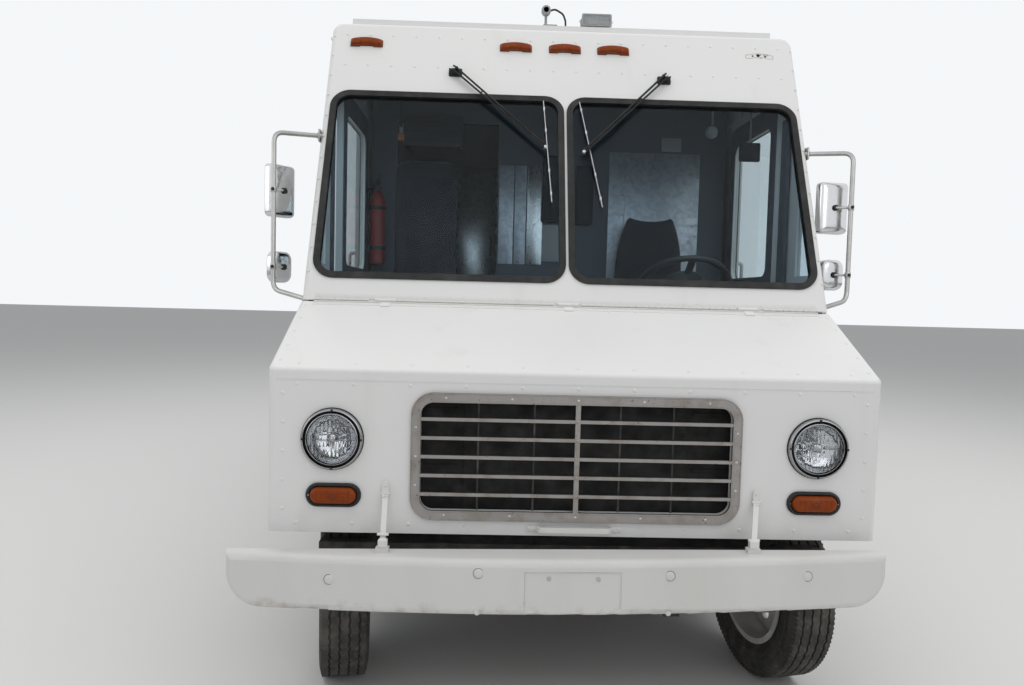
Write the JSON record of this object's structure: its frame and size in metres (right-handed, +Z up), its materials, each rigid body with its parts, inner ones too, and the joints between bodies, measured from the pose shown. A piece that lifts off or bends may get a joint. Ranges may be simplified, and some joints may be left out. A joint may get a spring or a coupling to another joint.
{
  "type": "food truck",
  "caption": "White riveted aluminium walk-in step van with a sloped tilting nose, sliding cab doors, rear doors and a top-hinged serving hatch.",
  "frame": {"origin": "on the ground under the middle of the whole truck", "axes": "+Z up, -Y out of the nose, +X to the driver's side (the vehicle's left)"},
  "size_m": [2.7317, 6.85, 3.295],
  "materials": {
    "body_paint": "weathered white paint",
    "frame_paint": "worn black paint",
    "engine_metal": "oily cast iron",
    "radiator_black": "matt black fins",
    "tank_metal": "dull steel",
    "exhaust_metal": "heat-stained steel",
    "tyre": "worn rubber",
    "wheel_paint": "white painted steel",
    "floor_metal": "bare sheet",
    "partition_metal": "bare sheet",
    "glass": "clear, slightly green",
    "rubber": "black gasket",
    "grille_metal": "dull oxidised",
    "lamp_chrome": "bright ring with clear lens",
    "amber": "amber lens",
    "red_lens": "red lens",
    "fitting_grey": "grey cast housings",
    "wiper_black": "matt black",
    "stainless": "polished stainless",
    "dash_plastic": "dark grained",
    "wheel_plastic": "black rim",
    "seat_vinyl": "dark vinyl"
  },
  "bodies": {
    "truck": {"chassis_frame": "frame_paint", "engine_block": "engine_metal", "radiator": "radiator_black", "front_axle": "frame_paint", "leaf_springs": "frame_paint", "rear_axle": "frame_paint", "fuel_tank": "tank_metal", "exhaust": "exhaust_metal", "floor": "floor_metal", "firewall": "floor_metal", "bulkhead": "partition_metal", "side_wall_left": "body_paint", "side_wall_right": "body_paint", "rear_wall": "body_paint", "roof": "body_paint", "cab_front": "body_paint", "cab_glass": "glass", "windscreen_gaskets": "rubber", "front_bumper": "body_paint", "rear_step": "frame_paint", "marker_lamps": "amber", "tail_lamps": "red_lens", "roof_lights": "fitting_grey", "wipers": "wiper_black", "mirrors": "stainless", "dashboard": "dash_plastic", "steering_wheel": "wheel_plastic", "driver_seat": "seat_vinyl", "kitchen_units": "stainless"},
    "steer_left": {"knuckle_left": "frame_paint"},
    "steer_right": {"knuckle_right": "frame_paint"},
    "track_rod": {"tie_rod": "frame_paint"},
    "wheel_front_left": {"tyre_front_left": "tyre", "rim_front_left": "wheel_paint"},
    "wheel_front_right": {"tyre_front_right": "tyre", "rim_front_right": "wheel_paint"},
    "wheels_rear_left": {"tyres_rear_left": "tyre", "rims_rear_left": "wheel_paint"},
    "wheels_rear_right": {"tyres_rear_right": "tyre", "rims_rear_right": "wheel_paint"},
    "nose": {"hood": "body_paint", "grille": "grille_metal", "headlamps": "lamp_chrome", "turn_signals": "amber", "nose_fittings": "body_paint"},
    "door_left": {"cab_door_left": "body_paint", "door_glass_left": "glass"},
    "door_right": {"cab_door_right": "body_paint", "door_glass_right": "glass"},
    "back_door_left": {"rear_door_left": "body_paint"},
    "back_door_right": {"rear_door_right": "body_paint"},
    "hatch": {"serving_hatch": "body_paint"}
  },
  "joints": [
    {"name": "steering_left", "type": "hinge", "parent": "truck", "child": "steer_left", "pos_m": [0.873, -2.615, 0.4055], "axis": [0, 0, 1], "range_deg": [-46, 24]},
    {"name": "steering_right", "type": "hinge", "parent": "truck", "child": "steer_right", "pos_m": [-0.873, -2.615, 0.4055], "axis": [0, 0, 1], "range_deg": [-46, 24]},
    {"name": "track_rod_pivot", "type": "hinge", "parent": "steer_left", "child": "track_rod", "pos_m": [0.84438, -2.46776, 0.3082], "axis": [0, 0, 1], "range_deg": [-24, 46]},
    {"name": "front_left_spin", "type": "hinge", "parent": "steer_left", "child": "wheel_front_left", "pos_m": [0.873, -2.615, 0.4055], "axis": [0.9816, 0.1908, 0], "continuous": true},
    {"name": "front_right_spin", "type": "hinge", "parent": "steer_right", "child": "wheel_front_right", "pos_m": [-0.873, -2.615, 0.4055], "axis": [0.9816, 0.1908, 0], "continuous": true},
    {"name": "rear_left_spin", "type": "hinge", "parent": "truck", "child": "wheels_rear_left", "pos_m": [0.875, 1.375, 0.4055], "axis": [1, 0, 0], "continuous": true},
    {"name": "rear_right_spin", "type": "hinge", "parent": "truck", "child": "wheels_rear_right", "pos_m": [-0.875, 1.375, 0.4055], "axis": [1, 0, 0], "continuous": true},
    {"name": "nose_tilt", "type": "hinge", "parent": "truck", "child": "nose", "pos_m": [0, -2.72214, 1.68898], "axis": [-1, 0, 0], "range_deg": [0, 50]},
    {"name": "door_left_slide", "type": "slide", "parent": "truck", "child": "door_left", "axis": [0, 1, 0], "range_m": [0, 0.76]},
    {"name": "door_right_slide", "type": "slide", "parent": "truck", "child": "door_right", "axis": [0, 1, 0], "range_m": [0, 0.76]},
    {"name": "back_door_left_swing", "type": "hinge", "parent": "truck", "child": "back_door_left", "pos_m": [0.648, 3.2335, 1.8], "axis": [0, 0, -1], "range_deg": [0, 120]},
    {"name": "back_door_right_swing", "type": "hinge", "parent": "truck", "child": "back_door_right", "pos_m": [-0.648, 3.2335, 1.8], "axis": [0, 0, 1], "range_deg": [0, 120]},
    {"name": "hatch_lift", "type": "hinge", "parent": "truck", "child": "hatch", "pos_m": [-1.1785, 0.275, 2.55], "axis": [0, 1, 0], "range_deg": [0, 90]}
  ],
  "couplings": [
    {"joint": "steering_right", "follows": "steering_left", "ratio": 1},
    {"joint": "track_rod_pivot", "follows": "steering_left", "ratio": -1}
  ]
}
